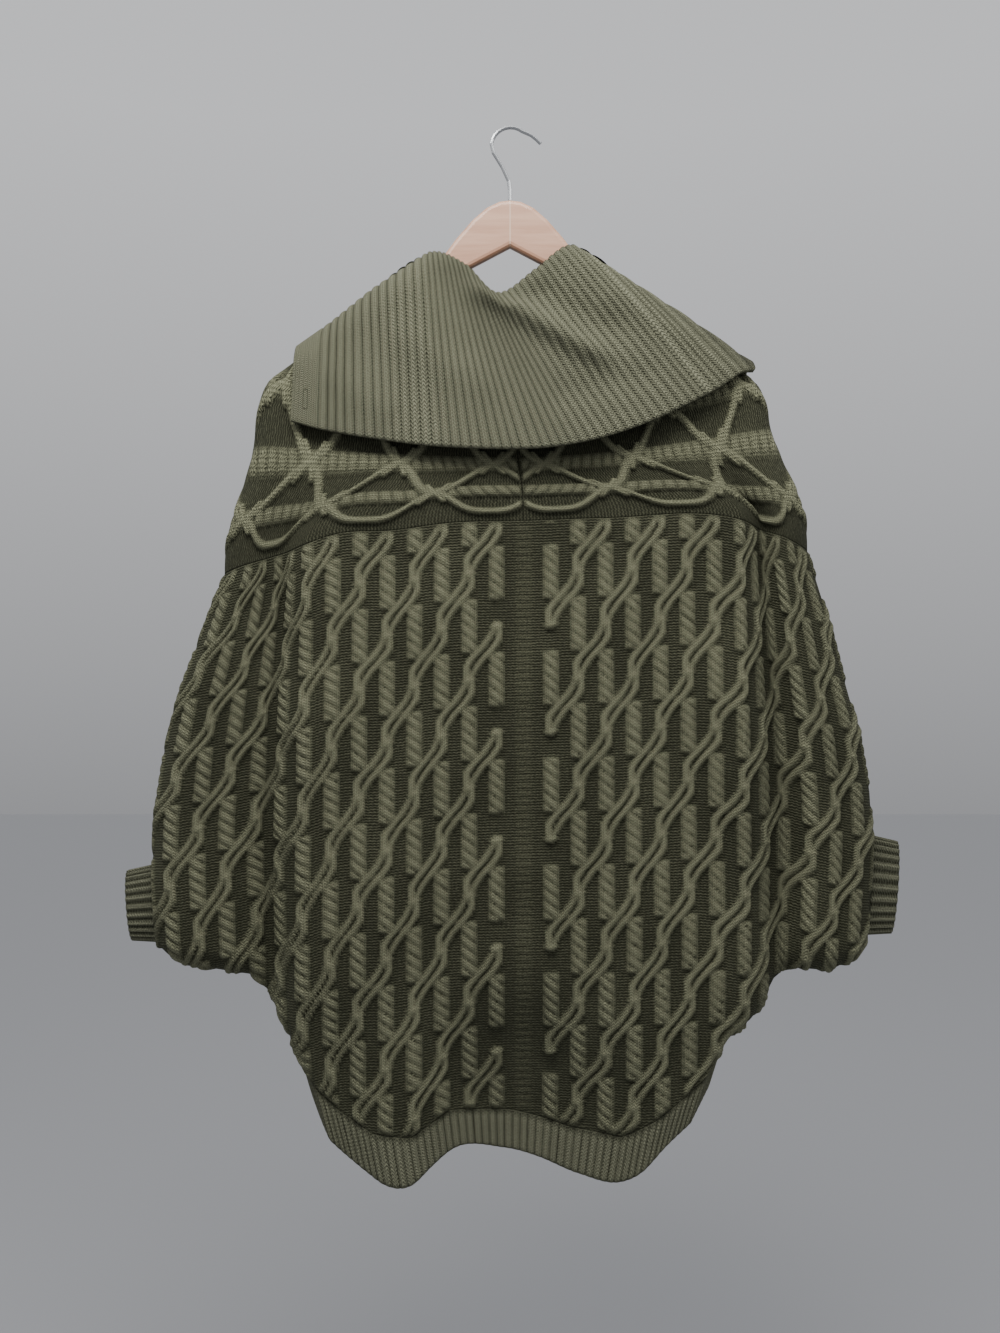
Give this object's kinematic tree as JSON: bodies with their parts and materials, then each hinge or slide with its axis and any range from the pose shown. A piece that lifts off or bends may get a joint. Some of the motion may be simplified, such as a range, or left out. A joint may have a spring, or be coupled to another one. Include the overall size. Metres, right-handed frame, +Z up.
{
  "type": "cable knit poncho sweater on a wooden hanger",
  "caption": "Olive cable knit poncho sweater with a wide ribbed fold-over collar, hung flat on a wooden hanger.",
  "frame": {"origin": "inner top of the hanger's wire hook, where it rests on what holds it", "axes": "+Z up, +X to the right seen from the front, the front of the garment towards -Y"},
  "size_m": [0.6584, 0.1033, 0.8793],
  "materials": {
    "olive_knit": "matte",
    "olive_rib": "matte",
    "beech": "satin",
    "steel": "satin"
  },
  "bodies": {
    "root": {"body_front": "olive_knit", "body_back": "olive_knit", "yoke_front_left": "olive_knit", "yoke_front_right": "olive_knit", "yoke_back": "olive_knit", "collar": "olive_rib", "hem_front": "olive_rib", "hem_back": "olive_rib", "cuff_left": "olive_rib", "cuff_right": "olive_rib", "hanger_body": "beech", "hanger_hook": "steel"}
  },
  "joints": []
}
